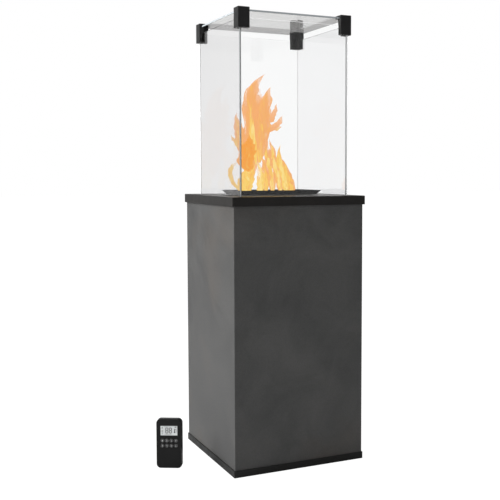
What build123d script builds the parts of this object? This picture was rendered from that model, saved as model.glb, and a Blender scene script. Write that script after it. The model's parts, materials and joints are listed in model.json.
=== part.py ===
from build123d import *

# Patio gas heater: a square cabinet with a stone slab, a glass flame box and a handset.
# Millimetres. Origin on the floor under the middle of the cabinet, +Z up.
# The wide casing face looks towards -Y, and the service door is at +Y.

import os
from math import cos, radians, sin

os.makedirs("parts", exist_ok=True)

# Cabinet sizes
cabinet_width = 422.0
casing_height = 772.0
casing_board = 8.0
casing_arris = 0.8
plinth_height = 20.0
plinth_proud = 3.0
plinth_sheet = 2.0
plinth_flange = 38.0
plinth_fold = 2.0
post_leg = 25.0
post_sheet = 2.0
frame_sheet = 3.0
frame_band = 38.0
shelf_from_top = 124.0
shelf_sheet = 2.0
shelf_flange = 20.0
shelf_vent_length = 90.0
shelf_vent_width = 8.0
shelf_vent_pitch = 22.0
shelf_vent_count = 5
shelf_vent_from_front = 93.0

# Slab and glass sizes
slab_overhang = 6.0
slab_thickness = 27.0
slab_edge_radius = 2.5
slab_corner_radius = 3.0
slab_cutout_length = 236.0
slab_cutout_width = 56.0
glass_inset = 41.0
glass_thickness = 5.0
glass_arris = 0.5
pane_height = 514.5
pane_corner_gap = 0.3
ceiling_gap = 18.8
gasket_wall = 1.0
groove_depth = 7.0

# Corner clip sizes
clip_wall = 8.5
clip_reach = 36.0
clip_plate = 5.0
clip_drop = 29.0
clip_cover = 6.2
clip_edge_radius = 3.0
clip_end_radius = 1.2
clip_screw_radius = 2.0
clip_screw_bite = 7.0
clip_screw_head_radius = 3.8
clip_screw_head_depth = 1.8
clip_screw_from_end = 8.0

# Burner sizes
tray_base_length = 246.0
tray_base_width = 136.0
tray_flare = 12.0
tray_height = 13.5
tray_sheet = 2.0
tray_window_margin = 5.0
burner_shift = 16.0
chamber_length = 196.0
chamber_width = 50.0
chamber_depth = 44.0
chamber_sheet = 1.5
chamber_flange = 10.0
plate_length = 200.0
plate_width = 44.0
plate_thickness = 2.0
port_radius = 2.0
port_pitch = 10.0
port_row_gap = 16.0
port_columns = 18
pilot_x = -98.0
pilot_spacing = 9.0
pilot_slot_length = 28.0
pilot_slot_width = 32.0
pilot_tube_radius = 4.0
pilot_tube_height = 54.0
pilot_hood_radius = 5.5
pilot_hood_height = 8.0
pilot_bracket_depth = 11.0
pilot_bracket_drop = 18.0
pilot_bracket_width = 28.0
pilot_below_bracket = 26.0
electrode_radius = 3.0
electrode_rod_radius = 0.9
electrode_height = 44.0
electrode_tip = 9.0
thermocouple_radius = 2.2
thermocouple_height = 56.0
probe_clearance = 0.1
hex_sides = 6
injector_hex = 14.0
injector_hex_height = 12.0
injector_shoulder_radius = 6.0
injector_shoulder_height = 10.0
injector_nose_radius = 3.9
injector_nose_height = 3.0
injector_hole_clearance = 0.1

# Gas valve and pipes
valve_length = 100.0
valve_depth = 44.0
valve_height = 44.0
valve_x = -65.0
valve_from_door = 59.0
valve_foot = 8.0
valve_foot_length = 14.0
valve_edge_radius = 3.0
motor_length = 44.0
motor_depth = 34.0
motor_height = 20.0
motor_shift = 20.0
solenoid_radius = 13.0
solenoid_length = 24.0
knob_boss_radius = 12.0
knob_boss_height = 4.0
knob_spread = 46.0
knob_shaft_radius = 3.0
knob_shaft_length = 10.0
knob_bore_clearance = 0.05
knob_face_gap = 0.4
knob_bore_end_gap = 1.0
flow_knob_radius = 16.0
flow_knob_height = 14.0
flow_knob_flutes = 12
flow_knob_flute_radius = 2.4
flow_knob_pointer_width = 3.0
flow_knob_pointer_height = 1.2
flow_knob_pointer_shift = 5.3
manual_knob_radius = 11.0
manual_knob_height = 6.0
manual_knob_bar_length = 28.0
manual_knob_bar_width = 7.0
manual_knob_bar_height = 8.0
inlet_thread_radius = 6.58
inlet_thread_length = 16.0
inlet_hex = 19.0
inlet_hex_height = 10.0
inlet_hole_radius = 17.0
inlet_bore_radius = 3.0
burner_pipe_radius = 4.0
burner_pipe_bend = 18.0
burner_pipe_port_x = -30.0
burner_pipe_rise = 26.0
pilot_pipe_radius = 2.0
pilot_pipe_bend = 14.0
pilot_pipe_rise = 38.0
sensor_lead_radius = 1.0
sensor_lead_bend = 12.0
sensor_lead_rise = 48.0
spark_lead_radius = 1.5
spark_lead_bend = 14.0
spark_lead_rise = 70.0
spark_lead_run = 65.0

# Receiver box sizes
receiver_length = 110.0
receiver_depth = 65.0
receiver_height = 34.0
receiver_x = 95.0
receiver_from_door = 73.0
receiver_wall = 2.0
receiver_corner_radius = 3.0
receiver_lid_height = 5.0
receiver_lid_wall = 1.6
receiver_lid_gap = 0.3
receiver_lid_lip = 3.0
cell_radius = 7.25
cell_length = 49.5
cell_tip_radius = 2.7
cell_tip_height = 1.0
cell_pitch = 15.0
cell_count = 4

# Door and hinge sizes
door_gap = 2.0
door_floor_gap = 3.0
door_hinge_gap = 2.5
door_vent_length = 170.0
door_vent_width = 6.0
door_vent_pitch = 13.0
door_vent_rows = 5
door_vent_end = 60.0
finger_hole_radius = 15.0
finger_hole_from_edge = 38.0
finger_hole_from_top = 322.0
magnet_length = 40.0
magnet_width = 16.0
magnet_corner_radius = 2.0
magnet_gap = 0.4
magnet_from_end = 45.0
hinge_height = 60.0
hinge_from_end = 95.0
hinge_sheet = 1.5
knuckle_radius = 3.6
knuckle_face_gap = 0.4
hinge_pin_radius = 2.0
hinge_seat_clearance = 0.01
hinge_run_clearance = 0.05
hinge_knuckle_gap = 0.4
hinge_cap_radius = 3.2
hinge_cap_height = 1.5
door_leaf_width = 28.0
leaf_screw_radius = 1.8
leaf_screw_head_radius = 3.2
leaf_screw_head_height = 1.2
leaf_screw_bite = 5.0
leaf_screw_inset = 14.0
leaf_screw_spacing = 30.0

# Frame screw sizes
panel_screw_radius = 2.0
panel_screw_bite = 5.0
panel_screw_head_radius = 4.0
panel_screw_head_height = 2.5
panel_screw_first_rise = 90.0
panel_screw_second_rise = 370.0
panel_screw_third_drop = 172.0
panel_screw_last_drop = 52.0
panel_screw_from_edge = 15.0
slab_screw_radius = 3.0
slab_screw_bite = 16.0
slab_screw_head_radius = 5.0
slab_screw_head_height = 4.0
slab_screw_inset = 24.0
shelf_screw_from_board = 18.0

# Handset sizes
handset_width = 77.0
handset_height = 150.0
handset_depth = 20.0
handset_x = -354.0
handset_y = -36.0
handset_turn = 28.0
handset_corner_radius = 13.0
handset_edge_radius = 1.8
handset_wall = 2.0
handset_split = -1.0
screen_width = 51.0
screen_height = 29.0
screen_centre_height = 115.0
screen_recess = 0.3
screen_frame = 3.0
key_radius = 5.4
key_clearance = 0.3
key_proud = 0.4
key_flange = 0.9
key_flange_height = 0.8
key_columns_pitch = 13.6
key_columns = 4
key_rows_pitch = 15.6
key_upper_row_height = 84.5
board_thickness = 1.6
board_margin = 3.0
board_below_front = 3.0
board_post_radius = 3.0
board_post_inset = 16.0
hatch_width = 30.0
hatch_height = 52.0
hatch_centre_height = 38.0
hatch_clearance = 0.3
hatch_plate = 0.9
hatch_ledge = 1.5
hatch_grip_width = 14.0
hatch_grip_height = 1.6
hatch_grip_depth = 0.4
hatch_grip_count = 3
hatch_grip_rise = 17.3
slim_cell_radius = 5.25
slim_cell_length = 44.5
slim_cell_gap = 1.5
slim_cell_hatch_gap = 0.3
slim_rib = 1.2
slim_rib_width = 26.0

# Distances worked out from the sizes
half = cabinet_width / 2
board_line = half - casing_board
rear_line = board_line - door_gap
plinth_half = half + plinth_proud
casing_top = plinth_height + casing_height
slab_half = half + slab_overhang
slab_top = casing_top + slab_thickness
frame_bottom = casing_top - frame_sheet
glass_half = slab_half - glass_inset
glass_inner = glass_half - glass_thickness
pane_bottom = slab_top - groove_depth + gasket_wall
pane_top = slab_top + pane_height
ceiling_bottom = pane_top + ceiling_gap
ceiling_top = ceiling_bottom + glass_thickness
clip_outer = glass_half + clip_wall
clip_near = clip_outer - clip_reach
clip_inner = glass_inner - clip_plate
clip_bottom = pane_top - clip_drop
clip_top = ceiling_top + clip_cover
chamber_bottom = slab_top - chamber_depth
tray_level = slab_top + chamber_sheet
tray_top = tray_level + tray_height
plate_level = tray_level + tray_sheet
chamber_end = burner_shift - chamber_length / 2
shelf_level = casing_top - shelf_from_top
shelf_top = shelf_level + shelf_sheet
shelf_screw_y = board_line - shelf_screw_from_board
shelf_vent_y = shelf_vent_from_front - board_line
valve_y = rear_line - valve_from_door
receiver_y = rear_line - receiver_from_door
burner_pipe_level = shelf_level + burner_pipe_rise
pilot_pipe_level = shelf_level + pilot_pipe_rise
sensor_lead_level = shelf_level + sensor_lead_rise
spark_lead_level = shelf_level + spark_lead_rise
pilot_bracket_level = slab_top - pilot_bracket_depth
finger_hole_level = casing_top - finger_hole_from_top
panel_screw_levels = (
    plinth_height + panel_screw_first_rise,
    plinth_height + panel_screw_second_rise,
    casing_top - panel_screw_third_drop,
    casing_top - panel_screw_last_drop,
)
corners = {
    "front_left": (-1, -1),
    "front_right": (1, -1),
    "rear_left": (-1, 1),
    "rear_right": (1, 1),
}


def finish(piece, name):
    """Label a finished piece and write it."""
    piece.part.label = name
    export_step(piece.part, f"parts/{name}.step")


def span(x_low, x_high, y_low, y_high):
    """Rectangle of the open sketch between two corners."""
    with Locations(((x_low + x_high) / 2, (y_low + y_high) / 2)):
        Rectangle(x_high - x_low, y_high - y_low)


def corner_square(sign_x, sign_y, far, near):
    """Square of the open sketch in one corner of the plan, from far to near the middle."""
    middle = (far + near) / 2
    with Locations((sign_x * middle, sign_y * middle)):
        Rectangle(far - near, far - near)


# Base plinth: a closed floor, a skirt and an inward flange that carries casing and posts
with BuildPart() as base_plinth:
    with BuildSketch():
        Rectangle(2 * plinth_half, 2 * plinth_half)
    extrude(amount=plinth_height)
    fillet(base_plinth.edges().filter_by(Axis.Z), radius=plinth_fold)
    with BuildSketch(Plane.XY.offset(plinth_sheet)):
        Rectangle(2 * (plinth_half - plinth_sheet), 2 * (plinth_half - plinth_sheet))
    extrude(amount=plinth_height - 2 * plinth_sheet, mode=Mode.SUBTRACT)
    with BuildSketch(Plane.XY.offset(plinth_height - plinth_sheet)):
        Rectangle(2 * (plinth_half - plinth_flange), 2 * (plinth_half - plinth_flange))
    extrude(amount=plinth_sheet, mode=Mode.SUBTRACT)
finish(base_plinth, "base_plinth")


# Corner posts: steel angle inside each corner of the casing
def make_post(sign_x, sign_y):
    """One corner post with the holes for its panel and shelf screws."""
    edge_x = board_line
    edge_y = rear_line if sign_y > 0 else board_line
    with BuildPart() as post:
        with BuildSketch(Plane.XY.offset(plinth_height)):
            with BuildLine():
                Polyline(
                    (sign_x * edge_x, sign_y * edge_y),
                    (sign_x * (edge_x - post_leg), sign_y * edge_y),
                    (sign_x * (edge_x - post_leg), sign_y * (edge_y - post_sheet)),
                    (sign_x * (edge_x - post_sheet), sign_y * (edge_y - post_sheet)),
                    (sign_x * (edge_x - post_sheet), sign_y * (edge_y - post_leg)),
                    (sign_x * edge_x, sign_y * (edge_y - post_leg)),
                    close=True,
                )
            make_face()
        extrude(amount=frame_bottom - plinth_height)
        side_holes = [
            (sign_y * (edge_y - panel_screw_from_edge), level) for level in panel_screw_levels
        ]
        side_holes.append((sign_y * shelf_screw_y, shelf_screw_level))
        with BuildSketch(Plane.YZ):
            with Locations(*side_holes):
                Circle(panel_screw_radius)
        extrude(amount=sign_x * cabinet_width, mode=Mode.SUBTRACT)
        if sign_y < 0:
            with BuildSketch(Plane.XZ):
                for level in panel_screw_levels:
                    with Locations((sign_x * (edge_x - panel_screw_from_edge), level)):
                        Circle(panel_screw_radius)
            extrude(amount=cabinet_width, mode=Mode.SUBTRACT)
    return post


shelf_screw_level = shelf_level - shelf_flange / 2
for corner, (sign_x, sign_y) in corners.items():
    corner_post = make_post(sign_x, sign_y)
    finish(corner_post, f"corner_post_{corner}")

# Top frame: a flat ring on the posts, inside the casing boards
with BuildPart() as top_frame:
    with BuildSketch(Plane.XY.offset(frame_bottom)):
        span(-board_line, board_line, -board_line, rear_line)
        with Locations((0, (rear_line - board_line) / 2)):
            Rectangle(
                2 * (board_line - frame_band),
                board_line + rear_line - 2 * frame_band,
                mode=Mode.SUBTRACT,
            )
        with GridLocations(
            2 * (board_line - slab_screw_inset), 2 * (board_line - slab_screw_inset), 2, 2
        ):
            Circle(slab_screw_radius, mode=Mode.SUBTRACT)
    extrude(amount=frame_sheet)
finish(top_frame, "top_frame")

# Casing front: ceramic board, mitred at both upright edges
with BuildPart() as casing_front:
    with BuildSketch(Plane.XY.offset(plinth_height)):
        with BuildLine():
            Polyline(
                (-half + casing_arris, -half),
                (half - casing_arris, -half),
                (half - casing_arris / 2, -half + casing_arris / 2),
                (board_line, -board_line),
                (-board_line, -board_line),
                (-half + casing_arris / 2, -half + casing_arris / 2),
                close=True,
            )
        make_face()
    extrude(amount=casing_height)
    with BuildSketch(Plane.XZ.offset(board_line)):
        for level in panel_screw_levels:
            for sign_x in (-1, 1):
                with Locations((sign_x * (board_line - panel_screw_from_edge), level)):
                    Circle(panel_screw_radius)
    extrude(amount=panel_screw_bite, mode=Mode.SUBTRACT)
finish(casing_front, "casing_front")


# Casing sides: mitred to the front board, square at the rear
def make_casing_side(sign_x):
    """One side board, on the side given by sign_x."""
    with BuildPart() as board:
        with BuildSketch(Plane.XY.offset(plinth_height)):
            with BuildLine():
                Polyline(
                    (sign_x * half, -half + casing_arris),
                    (sign_x * (half - casing_arris / 2), -half + casing_arris / 2),
                    (sign_x * board_line, -board_line),
                    (sign_x * board_line, half),
                    (sign_x * half, half),
                    close=True,
                )
            make_face()
        extrude(amount=casing_height)
        with BuildSketch(Plane.YZ.offset(sign_x * board_line)):
            for level in panel_screw_levels:
                with Locations((panel_screw_from_edge - board_line, level)):
                    Circle(panel_screw_radius)
                with Locations((rear_line - panel_screw_from_edge, level)):
                    Circle(panel_screw_radius)
        extrude(amount=sign_x * panel_screw_bite, mode=Mode.SUBTRACT)
    return board


casing_left = make_casing_side(-1)
finish(casing_left, "casing_left")
casing_right = make_casing_side(1)
finish(casing_right, "casing_right")

# Control shelf: a sheet between the posts with side flanges, vents and the hose hole
shelf_front = -(board_line - post_sheet)
shelf_rear = rear_line - post_sheet
shelf_side = board_line - post_sheet
with BuildPart() as control_shelf:
    with BuildSketch(Plane.XY.offset(shelf_level)):
        span(-shelf_side, shelf_side, shelf_front, shelf_rear)
        with Locations((valve_x, valve_y)):
            Circle(inlet_hole_radius, mode=Mode.SUBTRACT)
        with Locations((0, shelf_vent_y)):
            with GridLocations(shelf_vent_length + shelf_vent_pitch, shelf_vent_pitch, 2, shelf_vent_count):
                SlotOverall(shelf_vent_length, shelf_vent_width, mode=Mode.SUBTRACT)
    extrude(amount=shelf_sheet)
    with BuildSketch(Plane.XY.offset(shelf_level)):
        span(-shelf_side, -shelf_side + shelf_sheet, shelf_front, shelf_rear)
        span(shelf_side - shelf_sheet, shelf_side, shelf_front, shelf_rear)
    extrude(amount=-shelf_flange)
    with BuildSketch(Plane.YZ):
        with Locations((-shelf_screw_y, shelf_screw_level), (shelf_screw_y, shelf_screw_level)):
            Circle(panel_screw_radius)
    extrude(amount=cabinet_width, both=True, mode=Mode.SUBTRACT)
finish(control_shelf, "control_shelf")

# Frame screws: panel screws, shelf screws and slab screws
with BuildPart() as frame_screws:
    for sign_x in (-1, 1):
        inner_side = Plane.YZ.offset(sign_x * (board_line - post_sheet))
        side_points = []
        for level in panel_screw_levels:
            side_points.append((panel_screw_from_edge - board_line, level))
            side_points.append((rear_line - panel_screw_from_edge, level))
        with BuildSketch(inner_side):
            with Locations(*side_points):
                Circle(panel_screw_head_radius)
        extrude(amount=-sign_x * panel_screw_head_height)
        with BuildSketch(inner_side):
            with Locations(*side_points):
                Circle(panel_screw_radius)
        extrude(amount=sign_x * (post_sheet + panel_screw_bite))
        flange_points = [(-shelf_screw_y, shelf_screw_level), (shelf_screw_y, shelf_screw_level)]
        flange_side = Plane.YZ.offset(sign_x * (shelf_side - shelf_sheet))
        with BuildSketch(flange_side):
            with Locations(*flange_points):
                Circle(panel_screw_head_radius)
        extrude(amount=-sign_x * panel_screw_head_height)
        with BuildSketch(flange_side):
            with Locations(*flange_points):
                Circle(panel_screw_radius)
        extrude(amount=sign_x * (shelf_sheet + post_sheet))
    front_points = []
    for level in panel_screw_levels:
        front_points.append((panel_screw_from_edge - board_line, level))
        front_points.append((board_line - panel_screw_from_edge, level))
    with BuildSketch(Plane.XZ.offset(board_line - post_sheet)):
        with Locations(*front_points):
            Circle(panel_screw_head_radius)
    extrude(amount=-panel_screw_head_height)
    with BuildSketch(Plane.XZ.offset(board_line - post_sheet)):
        with Locations(*front_points):
            Circle(panel_screw_radius)
    extrude(amount=post_sheet + panel_screw_bite)
    slab_screw_spread = 2 * (board_line - slab_screw_inset)
    with BuildSketch(Plane.XY.offset(frame_bottom - slab_screw_head_height)):
        with GridLocations(slab_screw_spread, slab_screw_spread, 2, 2):
            Circle(slab_screw_head_radius)
    extrude(amount=slab_screw_head_height)
    with BuildSketch(Plane.XY.offset(frame_bottom)):
        with GridLocations(slab_screw_spread, slab_screw_spread, 2, 2):
            Circle(slab_screw_radius)
    extrude(amount=frame_sheet + slab_screw_bite)
finish(frame_screws, "frame_screws")

# Rear door: board with ventilation slots and a finger hole
door_left = -board_line + door_hinge_gap
door_right = board_line - door_gap
door_bottom = plinth_height + door_floor_gap
door_top = casing_top - door_floor_gap
knuckle_x = -board_line + knuckle_radius
knuckle_y = half + knuckle_radius + knuckle_face_gap
hinge_levels = (door_bottom + hinge_from_end, door_top - hinge_from_end)
leaf_left = knuckle_x + knuckle_radius + hinge_knuckle_gap
leaf_right = leaf_left + door_leaf_width
leaf_screw_x = leaf_right - leaf_screw_inset
leaf_screw_points = []
for level in hinge_levels:
    leaf_screw_points.append((leaf_screw_x, level - leaf_screw_spacing / 2))
    leaf_screw_points.append((leaf_screw_x, level + leaf_screw_spacing / 2))
with BuildPart() as rear_door:
    with BuildSketch(Plane.XZ.offset(-half)):
        span(door_left, door_right, door_bottom, door_top)
        for row in range(door_vent_rows):
            step = door_vent_end + row * door_vent_pitch
            with Locations((0, door_bottom + step), (0, door_top - step)):
                SlotOverall(door_vent_length, door_vent_width, mode=Mode.SUBTRACT)
        with Locations((door_right - finger_hole_from_edge, finger_hole_level)):
            Circle(finger_hole_radius, mode=Mode.SUBTRACT)
    extrude(amount=casing_board)
    with BuildSketch(Plane.XZ.offset(-half)):
        with Locations(*leaf_screw_points):
            Circle(leaf_screw_radius)
    extrude(amount=leaf_screw_bite, mode=Mode.SUBTRACT)
finish(rear_door, "rear_door")

# Door magnets: flat bars on the door that hold against the right rear post
with BuildPart() as door_magnets:
    with BuildSketch(Plane.XZ.offset(-board_line)):
        magnet_x = board_line - post_leg / 2
        for level in (door_bottom + magnet_from_end, door_top - magnet_from_end):
            with Locations((magnet_x, level)):
                RectangleRounded(magnet_width, magnet_length, magnet_corner_radius)
    extrude(amount=door_gap - magnet_gap)
finish(door_magnets, "door_magnets")

# Hinges: fixed leaves on the left rear post, lift-off leaves on the door, and pins
hinge_fixed_hole = hinge_pin_radius + hinge_seat_clearance
hinge_door_hole = hinge_pin_radius + hinge_run_clearance
with BuildPart() as hinge_fixed_leaves:
    for level in hinge_levels:
        low = level - hinge_height / 2
        with BuildSketch(Plane.XY.offset(low)):
            span(
                -board_line,
                -board_line + hinge_sheet,
                rear_line,
                knuckle_y - knuckle_radius - hinge_knuckle_gap,
            )
        extrude(amount=hinge_height)
        with BuildSketch(Plane.XY.offset(low)):
            span(-board_line, -board_line + hinge_sheet, rear_line, knuckle_y)
            with Locations((knuckle_x, knuckle_y)):
                Circle(knuckle_radius)
        extrude(amount=hinge_height / 2)
        with BuildSketch(Plane.XY.offset(low)):
            with Locations((knuckle_x, knuckle_y)):
                Circle(hinge_fixed_hole)
        extrude(amount=hinge_height, mode=Mode.SUBTRACT)
finish(hinge_fixed_leaves, "hinge_fixed_leaves")

with BuildPart() as hinge_door_leaves:
    for level in hinge_levels:
        low = level - hinge_height / 2
        knuckle_low = level + hinge_knuckle_gap
        with BuildSketch(Plane.XY.offset(low)):
            span(leaf_left, leaf_right, half, half + hinge_sheet)
        extrude(amount=hinge_height)
        with BuildSketch(Plane.XY.offset(knuckle_low)):
            span(knuckle_x, leaf_left, half, half + hinge_sheet)
            with Locations((knuckle_x, knuckle_y)):
                Circle(knuckle_radius)
        extrude(amount=low + hinge_height - knuckle_low)
        with BuildSketch(Plane.XY.offset(low)):
            with Locations((knuckle_x, knuckle_y)):
                Circle(hinge_door_hole)
        extrude(amount=hinge_height, mode=Mode.SUBTRACT)
    with BuildSketch(Plane.XZ.offset(-half)):
        with Locations(*leaf_screw_points):
            Circle(leaf_screw_radius)
    extrude(amount=-hinge_sheet, mode=Mode.SUBTRACT)
finish(hinge_door_leaves, "hinge_door_leaves")

with BuildPart() as hinge_screws:
    with BuildSketch(Plane.XZ.offset(-half - hinge_sheet)):
        with Locations(*leaf_screw_points):
            Circle(leaf_screw_head_radius)
    extrude(amount=-leaf_screw_head_height)
    with BuildSketch(Plane.XZ.offset(-half - hinge_sheet)):
        with Locations(*leaf_screw_points):
            Circle(leaf_screw_radius)
    extrude(amount=hinge_sheet + leaf_screw_bite)
finish(hinge_screws, "hinge_screws")

with BuildPart() as hinge_pins:
    for level in hinge_levels:
        low = level - hinge_height / 2
        with BuildSketch(Plane.XY.offset(low)):
            with Locations((knuckle_x, knuckle_y)):
                Circle(hinge_pin_radius)
        extrude(amount=hinge_height)
        with BuildSketch(Plane.XY.offset(low)):
            with Locations((knuckle_x, knuckle_y)):
                Circle(hinge_cap_radius)
        extrude(amount=-hinge_cap_height)
finish(hinge_pins, "hinge_pins")

# Top slab: stone, with the glass groove, the burner cut-out and screw inserts
with BuildPart() as top_slab:
    with BuildSketch(Plane.XY.offset(casing_top)):
        RectangleRounded(2 * slab_half, 2 * slab_half, slab_corner_radius)
    extrude(amount=slab_thickness)
    fillet(top_slab.faces().sort_by(Axis.Z)[-1].edges(), radius=slab_edge_radius)
    with BuildSketch(Plane.XY.offset(slab_top)):
        Rectangle(2 * (glass_half + gasket_wall), 2 * (glass_half + gasket_wall))
        Rectangle(
            2 * (glass_inner - gasket_wall), 2 * (glass_inner - gasket_wall), mode=Mode.SUBTRACT
        )
    extrude(amount=-groove_depth, mode=Mode.SUBTRACT)
    with BuildSketch(Plane.XY.offset(casing_top)):
        Rectangle(slab_cutout_length, slab_cutout_width)
    extrude(amount=slab_thickness, mode=Mode.SUBTRACT)
    with BuildSketch(Plane.XY.offset(casing_top)):
        with GridLocations(slab_screw_spread, slab_screw_spread, 2, 2):
            Circle(slab_screw_radius)
    extrude(amount=slab_screw_bite, mode=Mode.SUBTRACT)
finish(top_slab, "top_slab")

# Glass gasket: a U-shaped strip that lines the groove
with BuildPart() as glass_gasket:
    with BuildSketch(Plane.XY.offset(slab_top - groove_depth)):
        Rectangle(2 * (glass_half + gasket_wall), 2 * (glass_half + gasket_wall))
        Rectangle(
            2 * (glass_inner - gasket_wall), 2 * (glass_inner - gasket_wall), mode=Mode.SUBTRACT
        )
    extrude(amount=groove_depth)
    with BuildSketch(Plane.XY.offset(pane_bottom)):
        Rectangle(2 * glass_half, 2 * glass_half)
        Rectangle(2 * glass_inner, 2 * glass_inner, mode=Mode.SUBTRACT)
    extrude(amount=groove_depth, mode=Mode.SUBTRACT)
finish(glass_gasket, "glass_gasket")


# Glass panes: front and rear across the full width, sides between them
def make_pane(x_low, x_high, y_low, y_high):
    """One upright pane with ground edges."""
    with BuildPart() as pane:
        with BuildSketch(Plane.XY.offset(pane_bottom)):
            span(x_low, x_high, y_low, y_high)
        extrude(amount=pane_top - pane_bottom)
        chamfer(pane.edges().filter_by(Axis.Z), length=glass_arris)
        chamfer(pane.faces().sort_by(Axis.Z)[-1].edges(), length=glass_arris)
    return pane


pane_side_y = glass_inner - pane_corner_gap
glass_front = make_pane(-glass_half, glass_half, -glass_half, -glass_inner)
finish(glass_front, "glass_front")
glass_rear = make_pane(-glass_half, glass_half, glass_inner, glass_half)
finish(glass_rear, "glass_rear")
glass_left = make_pane(-glass_half, -glass_inner, -pane_side_y, pane_side_y)
finish(glass_left, "glass_left")
glass_right = make_pane(glass_inner, glass_half, -pane_side_y, pane_side_y)
finish(glass_right, "glass_right")

# Glass ceiling: held clear above the panes, so that hot gas leaves all round
with BuildPart() as glass_ceiling:
    with BuildSketch(Plane.XY.offset(ceiling_bottom)):
        Rectangle(2 * glass_half, 2 * glass_half)
    extrude(amount=glass_thickness)
    chamfer(glass_ceiling.edges(), length=glass_arris)
finish(glass_ceiling, "glass_ceiling")


# Corner clips: castings that grip two panes and carry the ceiling
clip_screw_level = (pane_top + ceiling_bottom) / 2
clip_screw_place = clip_near + clip_screw_from_end


def make_clip(sign_x, sign_y):
    """One corner clip with its glass slots and screw holes."""
    cut_near = clip_near - clip_wall
    with BuildPart() as clip:
        with BuildSketch(Plane.XY.offset(clip_bottom)):
            corner_square(sign_x, sign_y, clip_outer, clip_near)
        extrude(amount=clip_top - clip_bottom)
        upright = clip.edges().filter_by(Axis.Z)
        outer = upright.sort_by_distance((0, 0, clip_bottom))[-1]
        fillet(outer, radius=clip_edge_radius)
        ends = clip.edges().filter_by(Axis.Z).sort_by_distance((0, 0, clip_bottom))[1:3]
        fillet(ends, radius=clip_end_radius)
        fillet(clip.faces().sort_by(Axis.Z)[-1].edges(), radius=clip_end_radius)
        with BuildSketch(Plane.XY.offset(clip_bottom)):
            corner_square(sign_x, sign_y, glass_half, cut_near)
        extrude(amount=pane_top - clip_bottom, mode=Mode.SUBTRACT)
        with BuildSketch(Plane.XY.offset(pane_top)):
            corner_square(sign_x, sign_y, glass_inner, cut_near)
        extrude(amount=ceiling_bottom - pane_top, mode=Mode.SUBTRACT)
        with BuildSketch(Plane.XY.offset(ceiling_bottom)):
            corner_square(sign_x, sign_y, glass_half, cut_near)
        extrude(amount=glass_thickness, mode=Mode.SUBTRACT)
        with BuildSketch(Plane.YZ.offset(sign_x * glass_inner)):
            with Locations((sign_y * clip_screw_place, clip_screw_level)):
                Circle(clip_screw_radius)
        extrude(amount=sign_x * clip_screw_bite, mode=Mode.SUBTRACT)
        with BuildSketch(Plane.XZ.offset(-sign_y * glass_inner)):
            with Locations((sign_x * clip_screw_place, clip_screw_level)):
                Circle(clip_screw_radius)
        extrude(amount=-sign_y * clip_screw_bite, mode=Mode.SUBTRACT)
    return clip


for corner, (sign_x, sign_y) in corners.items():
    corner_clip = make_clip(sign_x, sign_y)
    finish(corner_clip, f"corner_clip_{corner}")

# Clip plates: angle pieces inside the glass, screwed to the clips
with BuildPart() as clip_plates:
    for sign_x, sign_y in corners.values():
        with BuildSketch(Plane.XY.offset(clip_bottom)):
            corner_square(sign_x, sign_y, glass_inner, clip_near)
            with Locations((sign_x * clip_near, sign_y * clip_near)):
                Rectangle(
                    2 * (clip_inner - clip_near), 2 * (clip_inner - clip_near), mode=Mode.SUBTRACT
                )
        extrude(amount=ceiling_bottom - clip_bottom)
    for sign_x, sign_y in corners.values():
        with BuildSketch(Plane.YZ.offset(sign_x * clip_inner)):
            with Locations((sign_y * clip_screw_place, clip_screw_level)):
                Circle(clip_screw_radius)
        extrude(amount=sign_x * clip_plate, mode=Mode.SUBTRACT)
        with BuildSketch(Plane.XZ.offset(-sign_y * clip_inner)):
            with Locations((sign_x * clip_screw_place, clip_screw_level)):
                Circle(clip_screw_radius)
        extrude(amount=-sign_y * clip_plate, mode=Mode.SUBTRACT)
finish(clip_plates, "clip_plates")

# Clip screws: two to a clip, heads inside
with BuildPart() as clip_screws:
    for sign_x, sign_y in corners.values():
        with BuildSketch(Plane.YZ.offset(sign_x * clip_inner)):
            with Locations((sign_y * clip_screw_place, clip_screw_level)):
                Circle(clip_screw_radius)
        extrude(amount=sign_x * (clip_plate + clip_screw_bite))
        with BuildSketch(Plane.YZ.offset(sign_x * clip_inner)):
            with Locations((sign_y * clip_screw_place, clip_screw_level)):
                Circle(clip_screw_head_radius)
        extrude(amount=-sign_x * clip_screw_head_depth)
        with BuildSketch(Plane.XZ.offset(-sign_y * clip_inner)):
            with Locations((sign_x * clip_screw_place, clip_screw_level)):
                Circle(clip_screw_radius)
        extrude(amount=-sign_y * (clip_plate + clip_screw_bite))
        with BuildSketch(Plane.XZ.offset(-sign_y * clip_inner)):
            with Locations((sign_x * clip_screw_place, clip_screw_level)):
                Circle(clip_screw_head_radius)
        extrude(amount=sign_y * clip_screw_head_depth)
finish(clip_screws, "clip_screws")

# Burner chamber: a sheet box hung through the slab on its flange
with BuildPart() as burner_chamber:
    with BuildSketch(Plane.XY.offset(chamber_bottom)):
        with Locations((burner_shift, 0)):
            Rectangle(chamber_length, chamber_width)
    extrude(amount=chamber_depth)
    with BuildSketch(Plane.XY.offset(slab_top)):
        with Locations((burner_shift, 0)):
            Rectangle(chamber_length + 2 * chamber_flange, chamber_width + 2 * chamber_flange)
    extrude(amount=chamber_sheet)
    with BuildSketch(Plane.XY.offset(chamber_bottom + chamber_sheet)):
        with Locations((burner_shift, 0)):
            Rectangle(chamber_length - 2 * chamber_sheet, chamber_width - 2 * chamber_sheet)
    extrude(amount=chamber_depth, mode=Mode.SUBTRACT)
    with BuildSketch(Plane.XY.offset(chamber_bottom)):
        with Locations((burner_shift, 0)):
            Circle(injector_nose_radius + injector_hole_clearance)
    extrude(amount=chamber_sheet, mode=Mode.SUBTRACT)
finish(burner_chamber, "burner_chamber")

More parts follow.
